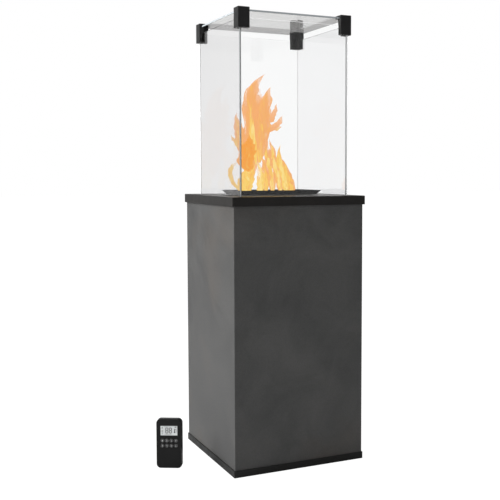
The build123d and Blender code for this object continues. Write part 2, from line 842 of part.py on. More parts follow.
# Burner tray: flared sheet pan with a window over the ports and a slot for the pilot
tray_window_length = plate_length - 2 * tray_window_margin
tray_window_width = plate_width - 2 * tray_window_margin
tray_rise = tray_flare * tray_sheet / tray_height
with BuildPart() as burner_tray:
    with BuildSketch(Plane.XY.offset(tray_level)):
        Rectangle(tray_base_length, tray_base_width)
    with BuildSketch(Plane.XY.offset(tray_top)):
        Rectangle(tray_base_length + 2 * tray_flare, tray_base_width + 2 * tray_flare)
    loft()
    inner_length = tray_base_length + 2 * (tray_rise - tray_sheet)
    inner_width = tray_base_width + 2 * (tray_rise - tray_sheet)
    inner_flare = tray_flare - tray_rise
    with BuildSketch(Plane.XY.offset(plate_level)):
        Rectangle(inner_length, inner_width)
    with BuildSketch(Plane.XY.offset(tray_top)):
        Rectangle(inner_length + 2 * inner_flare, inner_width + 2 * inner_flare)
    loft(mode=Mode.SUBTRACT)
    with BuildSketch(Plane.XY.offset(tray_level)):
        with Locations((burner_shift, 0)):
            Rectangle(tray_window_length, tray_window_width)
        with Locations((pilot_x, 0)):
            Rectangle(pilot_slot_length - tray_window_margin, pilot_slot_width)
    extrude(amount=tray_sheet, mode=Mode.SUBTRACT)
finish(burner_tray, "burner_tray")

# Burner plate: two rows of flame ports
with BuildPart() as burner_plate:
    with BuildSketch(Plane.XY.offset(plate_level)):
        with Locations((burner_shift, 0)):
            RectangleRounded(plate_length, plate_width, plate_thickness)
            with GridLocations(port_pitch, port_row_gap, port_columns, 2):
                Circle(port_radius, mode=Mode.SUBTRACT)
    extrude(amount=plate_thickness)
finish(burner_plate, "burner_plate")

# Pilot burner: tube with a slotted hood, on a bracket at the end of the chamber
pilot_tube_low = pilot_bracket_level - pilot_below_bracket
bracket_end = chamber_end - (pilot_slot_length + chamber_sheet)
with BuildPart() as pilot_burner:
    with BuildSketch(Plane.XY.offset(pilot_bracket_level)):
        span(bracket_end, chamber_end, -pilot_bracket_width / 2, pilot_bracket_width / 2)
    extrude(amount=chamber_sheet)
    with BuildSketch(Plane.XY.offset(pilot_bracket_level)):
        span(
            chamber_end - chamber_sheet,
            chamber_end,
            -pilot_bracket_width / 2,
            pilot_bracket_width / 2,
        )
    extrude(amount=-pilot_bracket_drop)
    with BuildSketch(Plane.XY.offset(pilot_tube_low)):
        with Locations((pilot_x, -pilot_spacing)):
            Circle(pilot_tube_radius)
    extrude(amount=pilot_tube_height)
    hood_level = pilot_tube_low + pilot_tube_height
    with BuildSketch(Plane.XY.offset(hood_level - pilot_hood_height)):
        with Locations((pilot_x, -pilot_spacing)):
            Circle(pilot_hood_radius - chamber_sheet / 2)
    extrude(amount=pilot_hood_height)
    with BuildSketch(Plane.XZ.offset(pilot_spacing)):
        with Locations((pilot_x, hood_level - pilot_hood_height / 2)):
            Rectangle(2 * pilot_hood_radius, chamber_sheet)
    extrude(amount=-pilot_hood_radius, mode=Mode.SUBTRACT)
    with BuildSketch(Plane.XY.offset(pilot_bracket_level)):
        with Locations((pilot_x, 0)):
            Circle(electrode_radius + probe_clearance)
        with Locations((pilot_x, pilot_spacing)):
            Circle(thermocouple_radius + probe_clearance)
    extrude(amount=chamber_sheet, mode=Mode.SUBTRACT)
finish(pilot_burner, "pilot_burner")

# Leads and pipes: round tubes along runs joined by arcs
receiver_side = receiver_x - receiver_length / 2
spark_corner_x = receiver_side - 2 * spark_lead_bend
with BuildPart() as spark_electrode:
    electrode_low = pilot_bracket_level - pilot_below_bracket
    with BuildSketch(Plane.XY.offset(electrode_low)):
        with Locations((pilot_x, 0)):
            Circle(electrode_radius)
    extrude(amount=electrode_height)
    with BuildSketch(Plane.XY.offset(electrode_low + electrode_height)):
        with Locations((pilot_x, 0)):
            Circle(electrode_rod_radius)
    extrude(amount=electrode_tip)
    with BuildLine() as spark_route:
        FilletPolyline(
            (pilot_x, 0, electrode_low),
            (pilot_x, 0, spark_lead_level),
            (pilot_x + spark_lead_run, spark_lead_run, spark_lead_level),
            (spark_corner_x, receiver_y, spark_lead_level - spark_lead_bend),
            (spark_corner_x, receiver_y, shelf_top + receiver_height / 2),
            (receiver_side, receiver_y, shelf_top + receiver_height / 2),
            radius=spark_lead_bend,
        )
    with BuildSketch(Plane(origin=spark_route.line @ 0, z_dir=spark_route.line % 0)):
        Circle(spark_lead_radius)
    sweep(path=spark_route.line)
finish(spark_electrode, "spark_electrode")

valve_front = valve_y - valve_depth / 2
valve_rear = valve_y + valve_depth / 2
valve_low = shelf_top + valve_foot
with BuildPart() as thermocouple:
    with BuildSketch(Plane.XY.offset(pilot_tube_low)):
        with Locations((pilot_x, pilot_spacing)):
            Circle(thermocouple_radius)
    extrude(amount=thermocouple_height)
    with BuildLine() as sensor_route:
        FilletPolyline(
            (pilot_x, pilot_spacing, pilot_tube_low),
            (pilot_x, pilot_spacing, sensor_lead_level),
            (pilot_x, valve_front, sensor_lead_level),
            radius=sensor_lead_bend,
        )
    with BuildSketch(Plane(origin=sensor_route.line @ 0, z_dir=sensor_route.line % 0)):
        Circle(sensor_lead_radius)
    sweep(path=sensor_route.line)
finish(thermocouple, "thermocouple")

with BuildPart() as pilot_pipe:
    with BuildLine() as pilot_route:
        FilletPolyline(
            (pilot_x, -pilot_spacing, pilot_tube_low),
            (pilot_x, -pilot_spacing, pilot_pipe_level),
            (pilot_x, valve_front, pilot_pipe_level),
            radius=pilot_pipe_bend,
        )
    with BuildSketch(Plane(origin=pilot_route.line @ 0, z_dir=pilot_route.line % 0)):
        Circle(pilot_pipe_radius)
    sweep(path=pilot_route.line)
finish(pilot_pipe, "pilot_pipe")

# Gas injector: brass nozzle screwed into the floor of the chamber
injector_low = chamber_bottom - injector_shoulder_height - injector_hex_height
with BuildPart() as gas_injector:
    with BuildSketch(Plane.XY.offset(injector_low)):
        with Locations((burner_shift, 0)):
            RegularPolygon(injector_hex / 2, hex_sides, major_radius=False)
    extrude(amount=injector_hex_height)
    with BuildSketch(Plane.XY.offset(injector_low + injector_hex_height)):
        with Locations((burner_shift, 0)):
            Circle(injector_shoulder_radius)
    extrude(amount=injector_shoulder_height)
    with BuildSketch(Plane.XY.offset(chamber_bottom)):
        with Locations((burner_shift, 0)):
            Circle(injector_nose_radius)
    extrude(amount=injector_nose_height)
finish(gas_injector, "gas_injector")

with BuildPart() as burner_pipe:
    with BuildLine() as burner_route:
        FilletPolyline(
            (burner_pipe_port_x, valve_front, burner_pipe_level),
            (burner_pipe_port_x, 0, burner_pipe_level),
            (burner_shift, 0, burner_pipe_level),
            (burner_shift, 0, injector_low),
            radius=burner_pipe_bend,
        )
    with BuildSketch(Plane(origin=burner_route.line @ 0, z_dir=burner_route.line % 0)):
        Circle(burner_pipe_radius)
    sweep(path=burner_route.line)
finish(burner_pipe, "burner_pipe")

# Gas valve: body on two feet, motor housing, solenoid and two knob bosses
knob_level = valve_low + valve_height / 2
flow_knob_x = valve_x - knob_spread / 2
manual_knob_x = valve_x + knob_spread / 2
boss_face = valve_rear + knob_boss_height
knob_face = boss_face + knob_face_gap
knob_bore_depth = knob_shaft_length + knob_bore_end_gap
with BuildPart() as gas_valve:
    with BuildSketch(Plane.XY.offset(valve_low)):
        with Locations((valve_x, valve_y)):
            RectangleRounded(valve_length, valve_depth, valve_edge_radius)
    extrude(amount=valve_height)
    with BuildSketch(Plane.XY.offset(shelf_top)):
        with Locations((valve_x, valve_y)):
            with GridLocations(valve_length - valve_foot_length, 0, 2, 1):
                Rectangle(valve_foot_length, valve_depth)
    extrude(amount=valve_foot)
    with BuildSketch(Plane.XY.offset(valve_low + valve_height)):
        with Locations((valve_x + motor_shift, valve_y)):
            RectangleRounded(motor_length, motor_depth, valve_edge_radius)
    extrude(amount=motor_height)
    with BuildSketch(Plane.YZ.offset(valve_x - valve_length / 2)):
        with Locations((valve_y, knob_level)):
            Circle(solenoid_radius)
    extrude(amount=-solenoid_length)
    with BuildSketch(Plane.XZ.offset(-valve_rear)):
        with Locations((flow_knob_x, knob_level), (manual_knob_x, knob_level)):
            Circle(knob_boss_radius)
    extrude(amount=-knob_boss_height)
    with BuildSketch(Plane.XZ.offset(-boss_face)):
        with Locations((flow_knob_x, knob_level), (manual_knob_x, knob_level)):
            Circle(knob_shaft_radius + knob_bore_clearance)
    extrude(amount=knob_bore_depth, mode=Mode.SUBTRACT)
finish(gas_valve, "gas_valve")

# Flow knob: fluted, with a pointer, turned by hand or by the motor
with BuildPart() as flow_knob:
    with BuildSketch(Plane.XZ.offset(-knob_face)):
        with Locations((flow_knob_x, knob_level)):
            Circle(flow_knob_radius)
            with PolarLocations(flow_knob_radius, flow_knob_flutes):
                Circle(flow_knob_flute_radius, mode=Mode.SUBTRACT)
    extrude(amount=-flow_knob_height)
    with BuildSketch(Plane.XZ.offset(-knob_face - flow_knob_height)):
        with Locations((flow_knob_x, knob_level + flow_knob_pointer_shift)):
            Rectangle(flow_knob_pointer_width, flow_knob_radius)
    extrude(amount=-flow_knob_pointer_height)
    with BuildSketch(Plane.XZ.offset(-knob_face)):
        with Locations((flow_knob_x, knob_level)):
            Circle(knob_shaft_radius)
    extrude(amount=knob_face_gap + knob_shaft_length)
finish(flow_knob, "flow_knob")

# Manual knob: a disc with a finger bar
with BuildPart() as manual_knob:
    with BuildSketch(Plane.XZ.offset(-knob_face)):
        with Locations((manual_knob_x, knob_level)):
            Circle(manual_knob_radius)
    extrude(amount=-manual_knob_height)
    with BuildSketch(Plane.XZ.offset(-knob_face - manual_knob_height)):
        with Locations((manual_knob_x, knob_level)):
            SlotOverall(manual_knob_bar_length, manual_knob_bar_width, rotation=90)
    extrude(amount=-manual_knob_bar_height)
    with BuildSketch(Plane.XZ.offset(-knob_face)):
        with Locations((manual_knob_x, knob_level)):
            Circle(knob_shaft_radius)
    extrude(amount=knob_face_gap + knob_shaft_length)
finish(manual_knob, "manual_knob")

# Inlet fitting: brass nipple under the valve, for the hose
inlet_hex_low = shelf_level - inlet_hex_height
with BuildPart() as inlet_fitting:
    with BuildSketch(Plane.XY.offset(inlet_hex_low)):
        with Locations((valve_x, valve_y)):
            RegularPolygon(inlet_hex / 2, hex_sides, major_radius=False)
    extrude(amount=valve_low - inlet_hex_low)
    with BuildSketch(Plane.XY.offset(inlet_hex_low)):
        with Locations((valve_x, valve_y)):
            Circle(inlet_thread_radius)
    extrude(amount=-inlet_thread_length)
    with BuildSketch(Plane.XY.offset(inlet_hex_low - inlet_thread_length)):
        with Locations((valve_x, valve_y)):
            Circle(inlet_bore_radius)
    extrude(amount=inlet_thread_length + inlet_hex_height, mode=Mode.SUBTRACT)
finish(inlet_fitting, "inlet_fitting")

# Receiver box: open plastic box on the shelf
receiver_top = shelf_top + receiver_height
with BuildPart() as receiver_box:
    with BuildSketch(Plane.XY.offset(shelf_top)):
        with Locations((receiver_x, receiver_y)):
            RectangleRounded(receiver_length, receiver_depth, receiver_corner_radius)
    extrude(amount=receiver_height)
    with BuildSketch(Plane.XY.offset(shelf_top + receiver_wall)):
        with Locations((receiver_x, receiver_y)):
            Rectangle(receiver_length - 2 * receiver_wall, receiver_depth - 2 * receiver_wall)
    extrude(amount=receiver_height, mode=Mode.SUBTRACT)
finish(receiver_box, "receiver_box")

# Receiver lid: cap with a locating lip inside the box
lid_low = receiver_top + receiver_lid_gap
lip_length = receiver_length - 2 * (receiver_wall + receiver_lid_gap)
lip_depth = receiver_depth - 2 * (receiver_wall + receiver_lid_gap)
with BuildPart() as receiver_lid:
    with BuildSketch(Plane.XY.offset(lid_low)):
        with Locations((receiver_x, receiver_y)):
            RectangleRounded(receiver_length, receiver_depth, receiver_corner_radius)
    extrude(amount=receiver_lid_height)
    fillet(receiver_lid.faces().sort_by(Axis.Z)[-1].edges(), radius=receiver_lid_wall)
    with BuildSketch(Plane.XY.offset(lid_low)):
        with Locations((receiver_x, receiver_y)):
            Rectangle(lip_length, lip_depth)
    extrude(amount=-receiver_lid_lip)
    with BuildSketch(Plane.XY.offset(lid_low - receiver_lid_lip)):
        with Locations((receiver_x, receiver_y)):
            Rectangle(lip_length - 2 * receiver_lid_wall, lip_depth - 2 * receiver_lid_wall)
    extrude(
        amount=receiver_lid_lip + receiver_lid_height - receiver_lid_wall, mode=Mode.SUBTRACT
    )
finish(receiver_lid, "receiver_lid")

# Receiver batteries: round cells side by side on the floor of the box
cell_level = shelf_top + receiver_wall + cell_radius
cell_start = receiver_y - receiver_depth / 2 + receiver_wall
with BuildPart() as receiver_batteries:
    with BuildSketch(Plane.XZ.offset(-cell_start - cell_tip_height)):
        with Locations((receiver_x, cell_level)):
            with GridLocations(cell_pitch, 0, cell_count, 1):
                Circle(cell_radius)
    extrude(amount=-cell_length)
    with BuildSketch(Plane.XZ.offset(-cell_start)):
        with Locations((receiver_x, cell_level)):
            with GridLocations(cell_pitch, 0, cell_count, 1):
                Circle(cell_tip_radius)
    extrude(amount=-cell_tip_height)
finish(receiver_batteries, "receiver_batteries")

# Handset: its own upright plane, turned about +Z, looking out of its face
handset_plane = Plane(
    origin=(handset_x, handset_y, 0),
    x_dir=(cos(radians(handset_turn)), -sin(radians(handset_turn)), 0),
    z_dir=(-sin(radians(handset_turn)), -cos(radians(handset_turn)), 0),
)
handset_front_face = handset_depth / 2
handset_back_face = -handset_depth / 2
front_wall_inside = handset_front_face - handset_wall
board_top = front_wall_inside - board_below_front
board_bottom = board_top - board_thickness
key_bottom = front_wall_inside - key_clearance - key_flange_height
key_rows = (key_upper_row_height, key_upper_row_height - key_rows_pitch)
key_names = (
    ("key_flame", "key_timer", "key_temperature", "key_up"),
    ("key_light", "key_mode", "key_fan", "key_down"),
)


def handset_outline(inset):
    """Rounded outline of the open sketch, inset from the outside."""
    with Locations((0, handset_height / 2)):
        RectangleRounded(
            handset_width - 2 * inset, handset_height - 2 * inset, handset_corner_radius - inset
        )


with BuildPart() as handset_front:
    with BuildSketch(handset_plane.offset(handset_split)):
        handset_outline(0)
    extrude(amount=handset_front_face - handset_split)
    front_rim = handset_front.faces().sort_by_distance(
        handset_plane.offset(handset_depth).origin + Vector(0, 0, handset_height / 2)
    )[0]
    fillet(front_rim.edges(), radius=handset_edge_radius)
    with BuildSketch(handset_plane.offset(handset_split)):
        handset_outline(handset_wall)
    extrude(amount=front_wall_inside - handset_split, mode=Mode.SUBTRACT)
    with BuildSketch(handset_plane.offset(front_wall_inside)):
        with Locations((0, screen_centre_height)):
            Rectangle(screen_width, screen_height)
        for row_height in key_rows:
            with Locations((0, row_height)):
                with GridLocations(key_columns_pitch, 0, key_columns, 1):
                    Circle(key_radius + key_clearance)
    extrude(amount=handset_wall, mode=Mode.SUBTRACT)
finish(handset_front, "handset_front")

hatch_step = handset_wall - hatch_plate - hatch_clearance
with BuildPart() as handset_rear:
    with BuildSketch(handset_plane.offset(handset_back_face)):
        handset_outline(0)
    extrude(amount=handset_split - handset_back_face)
    rear_rim = handset_rear.faces().sort_by_distance(
        handset_plane.offset(-handset_depth).origin + Vector(0, 0, handset_height / 2)
    )[0]
    fillet(rear_rim.edges(), radius=handset_edge_radius)
    with BuildSketch(handset_plane.offset(handset_back_face + handset_wall)):
        handset_outline(handset_wall)
    extrude(amount=handset_depth, mode=Mode.SUBTRACT)
    with BuildSketch(handset_plane.offset(handset_back_face + handset_wall)):
        with Locations((0, handset_height / 2)):
            with GridLocations(
                handset_width - 2 * board_post_inset, handset_height - board_post_inset, 2, 2
            ):
                Circle(board_post_radius)
        for end in (-1, 1):
            rib_middle = hatch_centre_height + end * (slim_cell_length + slim_rib) / 2
            with Locations((0, rib_middle)):
                Rectangle(slim_rib_width, slim_rib)
    extrude(amount=board_bottom - handset_back_face - handset_wall)
    with BuildSketch(handset_plane.offset(handset_back_face)):
        with Locations((0, hatch_centre_height)):
            Rectangle(hatch_width, hatch_height)
    extrude(amount=handset_wall - hatch_step, mode=Mode.SUBTRACT)
    with BuildSketch(handset_plane.offset(handset_back_face)):
        with Locations((0, hatch_centre_height)):
            Rectangle(hatch_width - 2 * hatch_ledge, slim_cell_length)
    extrude(amount=handset_wall, mode=Mode.SUBTRACT)
finish(handset_rear, "handset_rear")

with BuildPart() as handset_hatch:
    with BuildSketch(handset_plane.offset(handset_back_face)):
        with Locations((0, hatch_centre_height)):
            Rectangle(hatch_width - 2 * hatch_clearance, hatch_height - 2 * hatch_clearance)
    extrude(amount=hatch_plate)
    with BuildSketch(handset_plane.offset(handset_back_face + hatch_plate)):
        with Locations((0, hatch_centre_height)):
            Rectangle(
                hatch_width - 2 * (hatch_ledge + hatch_clearance),
                slim_cell_length - 2 * hatch_clearance,
            )
    extrude(amount=handset_wall - hatch_plate)
    with BuildSketch(handset_plane.offset(handset_back_face)):
        with Locations((0, hatch_centre_height + hatch_grip_rise)):
            with GridLocations(0, 2 * hatch_grip_height, 1, hatch_grip_count):
                SlotOverall(hatch_grip_width, hatch_grip_height)
    extrude(amount=hatch_grip_depth, mode=Mode.SUBTRACT)
finish(handset_hatch, "handset_hatch")

with BuildPart() as handset_board:
    with BuildSketch(handset_plane.offset(board_bottom)):
        handset_outline(board_margin)
    extrude(amount=board_thickness)
finish(handset_board, "handset_board")

with BuildPart() as handset_screen:
    with BuildSketch(handset_plane.offset(board_top)):
        with Locations((0, screen_centre_height)):
            Rectangle(screen_width + 2 * screen_frame, screen_height + 2 * screen_frame)
    extrude(amount=board_below_front)
    with BuildSketch(handset_plane.offset(front_wall_inside)):
        with Locations((0, screen_centre_height)):
            Rectangle(screen_width, screen_height)
    extrude(amount=handset_wall - screen_recess)
finish(handset_screen, "handset_screen")

slim_cell_level = handset_back_face + handset_wall + slim_cell_hatch_gap + slim_cell_radius
slim_cell_x = slim_cell_radius + slim_cell_gap / 2
slim_cell_low = hatch_centre_height - slim_cell_length / 2
with BuildPart() as handset_batteries:
    for sign_x in (-1, 1):
        foot = handset_plane.offset(slim_cell_level).from_local_coords(
            (sign_x * slim_cell_x, slim_cell_low, 0)
        )
        with BuildSketch(Plane(origin=foot, z_dir=(0, 0, 1))):
            Circle(slim_cell_radius)
        extrude(amount=slim_cell_length)
finish(handset_batteries, "handset_batteries")


# Handset keys: round caps with a retaining flange under the front shell
def make_key(centre_x, centre_height):
    """One press key at a place on the face."""
    with BuildPart() as key:
        with BuildSketch(handset_plane.offset(key_bottom)):
            with Locations((centre_x, centre_height)):
                Circle(key_radius + key_flange)
        extrude(amount=key_flange_height)
        with BuildSketch(handset_plane.offset(key_bottom)):
            with Locations((centre_x, centre_height)):
                Circle(key_radius)
        extrude(amount=handset_front_face + key_proud - key_bottom)
        rim = key.edges().sort_by(Axis(handset_plane.origin, handset_plane.z_dir))[-1]
        fillet(rim, radius=key_proud / 2)
    return key


for row_names, row_height in zip(key_names, key_rows):
    for column, key_name in enumerate(row_names):
        key_place = (column - (key_columns - 1) / 2) * key_columns_pitch
        press_key = make_key(key_place, row_height)
        finish(press_key, key_name)
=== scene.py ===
import json
import math
import random

import bmesh
import bpy
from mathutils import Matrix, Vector


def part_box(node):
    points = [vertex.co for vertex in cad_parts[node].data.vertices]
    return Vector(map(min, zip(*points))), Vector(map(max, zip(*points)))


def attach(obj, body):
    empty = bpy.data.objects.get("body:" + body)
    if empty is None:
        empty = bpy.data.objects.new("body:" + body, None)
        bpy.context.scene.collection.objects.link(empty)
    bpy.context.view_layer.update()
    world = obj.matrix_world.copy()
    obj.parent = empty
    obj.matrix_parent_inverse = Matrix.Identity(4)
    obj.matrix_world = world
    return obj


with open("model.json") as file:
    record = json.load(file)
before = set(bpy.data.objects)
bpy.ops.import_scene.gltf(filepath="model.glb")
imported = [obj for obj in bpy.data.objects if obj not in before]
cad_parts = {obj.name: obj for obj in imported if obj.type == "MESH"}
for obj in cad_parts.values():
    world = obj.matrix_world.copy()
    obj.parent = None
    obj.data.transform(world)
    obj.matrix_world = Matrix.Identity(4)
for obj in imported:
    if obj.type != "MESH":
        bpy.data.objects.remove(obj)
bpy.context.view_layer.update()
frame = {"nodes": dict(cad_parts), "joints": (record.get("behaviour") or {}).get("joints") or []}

# Patio gas heater with its handset: finishes, flames and the marks on the handset.
# Metres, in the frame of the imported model: +Z up, the wide casing face towards -Y.

nodes = frame["nodes"]
joints = {joint["name"]: joint for joint in frame["joints"]}
millimetres = 1000


def mix(low, high, share):
    """A value share of the way from low to high."""
    return low + (high - low) * share


def grey(level):
    """A neutral colour."""
    return (level, level, level)


def centre(node):
    """Middle of a node's box."""
    low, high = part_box(node)
    return (Vector(low) + Vector(high)) / 2


# Shader helpers
def new_material(name, roughness, specular=0.5, metallic=0.0):
    """A material with its Principled shader's constants set, and the two node lists."""
    material = bpy.data.materials.new(name)
    material.use_nodes = True
    shader = material.node_tree.nodes["Principled BSDF"]
    shader.inputs["Roughness"].default_value = roughness
    shader.inputs["Specular IOR Level"].default_value = specular
    shader.inputs["Metallic"].default_value = metallic
    return material, material.node_tree.nodes, material.node_tree.links, shader


def place_coordinates(tree_nodes, links, stretch=(1, 1, 1)):
    """Object coordinates, stretched along the axes."""
    source = tree_nodes.new("ShaderNodeTexCoord")
    mapping = tree_nodes.new("ShaderNodeMapping")
    mapping.inputs["Scale"].default_value = stretch
    links.new(source.outputs["Object"], mapping.inputs["Vector"])
    return mapping.outputs["Vector"]


def noise(tree_nodes, links, vector, scale, detail=4.0, roughness=0.55, distortion=0.0):
    """A noise texture's value."""
    texture = tree_nodes.new("ShaderNodeTexNoise")
    texture.inputs["Scale"].default_value = scale
    texture.inputs["Detail"].default_value = detail
    texture.inputs["Roughness"].default_value = roughness
    texture.inputs["Distortion"].default_value = distortion
    links.new(vector, texture.inputs["Vector"])
    return texture.outputs["Fac"]


def ramp(tree_nodes, links, value, stops):
    """A colour ramp with stops of (place, colour)."""
    node = tree_nodes.new("ShaderNodeValToRGB")
    while len(node.color_ramp.elements) < len(stops):
        node.color_ramp.elements.new(0.5)
    for element, (place, colour) in zip(node.color_ramp.elements, stops):
        element.position = place
        element.color = (*colour, 1.0)
    links.new(value, node.inputs["Fac"])
    return node.outputs["Color"]


def blend_colours(tree_nodes, links, share, first, second, kind="MIX"):
    """Two colours mixed by share, which is a number or a socket."""
    node = tree_nodes.new("ShaderNodeMix")
    node.data_type = "RGBA"
    node.blend_type = kind
    if isinstance(share, (int, float)):
        node.inputs["Factor"].default_value = share
    else:
        links.new(share, node.inputs["Factor"])
    for socket, value in ((node.inputs[6], first), (node.inputs[7], second)):
        if isinstance(value, tuple):
            socket.default_value = (*value, 1.0)
        else:
            links.new(value, socket)
    return node.outputs[2]


def remap(tree_nodes, links, value, low, high, to_low, to_high):
    """A value carried from one range to another, clamped."""
    node = tree_nodes.new("ShaderNodeMapRange")
    node.inputs["From Min"].default_value = low
    node.inputs["From Max"].default_value = high
    node.inputs["To Min"].default_value = to_low
    node.inputs["To Max"].default_value = to_high
    links.new(value, node.inputs["Value"])
    return node.outputs["Result"]


def combine(tree_nodes, links, operation, first, second):
    """Two values joined by a maths node; second is a number or a socket."""
    node = tree_nodes.new("ShaderNodeMath")
    node.operation = operation
    links.new(first, node.inputs[0])
    if isinstance(second, (int, float)):
        node.inputs[1].default_value = second
    else:
        links.new(second, node.inputs[1])
    return node.outputs[0]


def seen_directly(tree_nodes, links, paths):
    """One for rays of the camera and rays through glass, zero for the rest."""
    return combine(tree_nodes, links, "MAXIMUM", paths.outputs["Is Camera Ray"],
                   paths.outputs["Is Transmission Ray"])


def bump(tree_nodes, links, shader, height, strength, distance):
    """Bump from a height value on the shader's normal."""
    node = tree_nodes.new("ShaderNodeBump")
    node.inputs["Strength"].default_value = strength
    node.inputs["Distance"].default_value = distance
    links.new(height, node.inputs["Height"])
    links.new(node.outputs["Normal"], shader.inputs["Normal"])


def cloudy_board(name):
    """Dark ceramic board: soft clouds, fine speckle and a few warm patches."""
    material, tree, links, shader = new_material(name, 0.6, 0.35)
    place = place_coordinates(tree, links)
    clouds = noise(tree, links, place, 5.5, 6.0, 0.6, 0.8)
    patches = noise(tree, links, place, 2.6, 3.0, 0.5, 0.4)
    speckle = noise(tree, links, place, 420.0, 3.0, 0.7)
    base = ramp(tree, links, clouds, [
        (0.30, grey(0.060)),
        (0.48, (0.077, 0.077, 0.076)),
        (0.70, (0.098, 0.097, 0.095)),
    ])
    warm = remap(tree, links, patches, 0.52, 0.7, 0.0, 0.5)
    tinted = blend_colours(tree, links, warm, base, (0.100, 0.086, 0.074))
    grain = ramp(tree, links, speckle, [(0.35, grey(0.82)), (0.65, grey(1.0))])
    colour = blend_colours(tree, links, 1.0, tinted, grain, "MULTIPLY")
    links.new(colour, shader.inputs["Base Color"])
    sheen = remap(tree, links, clouds, 0.3, 0.7, 0.52, 0.7)
    links.new(sheen, shader.inputs["Roughness"])
    bump(tree, links, shader, speckle, 0.25, 0.0004)
    return material


def speckled(name, colour, lighter, roughness, specular, scale, strength, metallic=0.0, coat=0.0):
    """A plain finish broken up by fine grain, for paint, stone and moulded plastic.

    colour and lighter are the grain's two tones, scale its fineness and strength its bump.
    """
    material, tree, links, shader = new_material(name, roughness, specular, metallic)
    place = place_coordinates(tree, links)
    grain = noise(tree, links, place, scale, 4.0, 0.6)
    drift = noise(tree, links, place, scale / 25, 3.0, 0.5)
    tone = ramp(tree, links, grain, [(0.35, colour), (0.75, lighter)])
    shade = ramp(tree, links, drift, [(0.3, grey(0.85)), (0.7, grey(1.0))])
    links.new(blend_colours(tree, links, 1.0, tone, shade, "MULTIPLY"), shader.inputs["Base Color"])
    worn = remap(tree, links, drift, 0.3, 0.7, roughness * 0.85, min(1.0, roughness * 1.2))
    links.new(worn, shader.inputs["Roughness"])
    shader.inputs["Coat Weight"].default_value = coat
    shader.inputs["Coat Roughness"].default_value = 0.05
    bump(tree, links, shader, grain, strength, 0.0002)
    return material


def brushed(name, colour, roughness, stretch):
    """Metal drawn or turned along one axis."""
    material, tree, links, shader = new_material(name, roughness, 0.5, 1.0)
    place = place_coordinates(tree, links, stretch)
    lines = noise(tree, links, place, 300.0, 3.0, 0.6)
    dark = tuple(channel * 0.75 for channel in colour)
    links.new(ramp(tree, links, lines, [(0.3, dark), (0.7, colour)]), shader.inputs["Base Color"])
    links.new(remap(tree, links, lines, 0.3, 0.7, roughness, roughness * 1.5),
              shader.inputs["Roughness"])
    bump(tree, links, shader, lines, 0.1, 0.0001)
    return material


def clear_glass(name, across, tint, left_end_painted_tone, right_end_painted_tone):
    """Clear pane with ground edges, its left and right ends tinted apart by painted light and
    shade.

    across is the pane's thin axis.
    """
    material, tree, links, shader = new_material(name, 0.0, 0.5)
    shader.inputs["IOR"].default_value = 1.45
    geometry = tree.new("ShaderNodeNewGeometry")
    normal = tree.new("ShaderNodeVectorTransform")
    normal.vector_type = "NORMAL"
    normal.convert_from = "WORLD"
    normal.convert_to = "OBJECT"
    links.new(geometry.outputs["Normal"], normal.inputs["Vector"])
    split = tree.new("ShaderNodeSeparateXYZ")
    links.new(normal.outputs["Vector"], split.inputs["Vector"])
    size = tree.new("ShaderNodeMath")
    size.operation = "ABSOLUTE"
    links.new(split.outputs[across], size.inputs[0])
    face = remap(tree, links, size.outputs[0], 0.3, 0.6, 0.0, 1.0)
    place = place_coordinates(tree, links)
    haze = noise(tree, links, place, 3.0, 3.0, 0.5)
    clean = ramp(tree, links, haze, [(0.3, tuple(c * 0.985 for c in tint)), (0.7, tint)])
    place_split = tree.new("ShaderNodeSeparateXYZ")
    links.new(place, place_split.inputs["Vector"])
    right_share = remap(tree, links, place_split.outputs["X"], -0.05, 0.05, 0.0, 1.0)
    # The edge grey runs from the left end's tone to the right end's: painted light and shade on the
    # ground edges.
    edge = blend_colours(tree, links, right_share, left_end_painted_tone, right_end_painted_tone)
    links.new(blend_colours(tree, links, face, edge, clean), shader.inputs["Base Color"])
    links.new(face, shader.inputs["Transmission Weight"])
    links.new(remap(tree, links, face, 0.0, 1.0, 0.4, 0.0), shader.inputs["Roughness"])
    paths = tree.new("ShaderNodeLightPath")
    either = combine(tree, links, "MAXIMUM", paths.outputs["Is Shadow Ray"],
                     paths.outputs["Is Diffuse Ray"])
    passing = tree.new("ShaderNodeBsdfTransparent")
    passing.inputs["Color"].default_value = (0.95, 0.96, 0.96, 1.0)
    joined = tree.new("ShaderNodeMixShader")
    links.new(either, joined.inputs["Fac"])
    links.new(shader.outputs["BSDF"], joined.inputs[1])
    links.new(passing.outputs["BSDF"], joined.inputs[2])
    links.new(joined.outputs["Shader"], tree["Material Output"].inputs["Surface"])
    return material


def dress(material, *names):
    """Give CAD nodes one material in every slot."""
    for name in names:
        node = nodes[name]
        node.data.materials.clear()
        node.data.materials.append(material)


# Finishes of the cabinet
board_finish = cloudy_board("casing_clouded_ceramic")
dress(board_finish, "casing_front", "casing_left", "casing_right", "rear_door")
stone_finish = speckled("slab_polished_black", (0.019, 0.0178, 0.0168), (0.032, 0.0300, 0.0282),
                        0.32, 0.12, 650.0, 0.03)
dress(stone_finish, "top_slab")
plinth_finish = speckled("plinth_satin_black", (0.014, 0.014, 0.0135), (0.020, 0.020, 0.019),
                         0.5, 0.2, 900.0, 0.12)
dress(plinth_finish, "base_plinth")
frame_finish = speckled("frame_matt_black", grey(0.03), grey(0.05),
                        0.6, 0.4, 800.0, 0.2)
dress(frame_finish, "corner_post_front_left", "corner_post_front_right", "corner_post_rear_left",
      "corner_post_rear_right", "top_frame", "control_shelf", "hinge_fixed_leaves",
      "hinge_door_leaves")
clip_finish = speckled("clip_powder_black", grey(0.014), grey(0.022),
                       0.42, 0.35, 1500.0, 0.15)
dress(clip_finish, "corner_clip_front_left", "corner_clip_front_right", "corner_clip_rear_left")
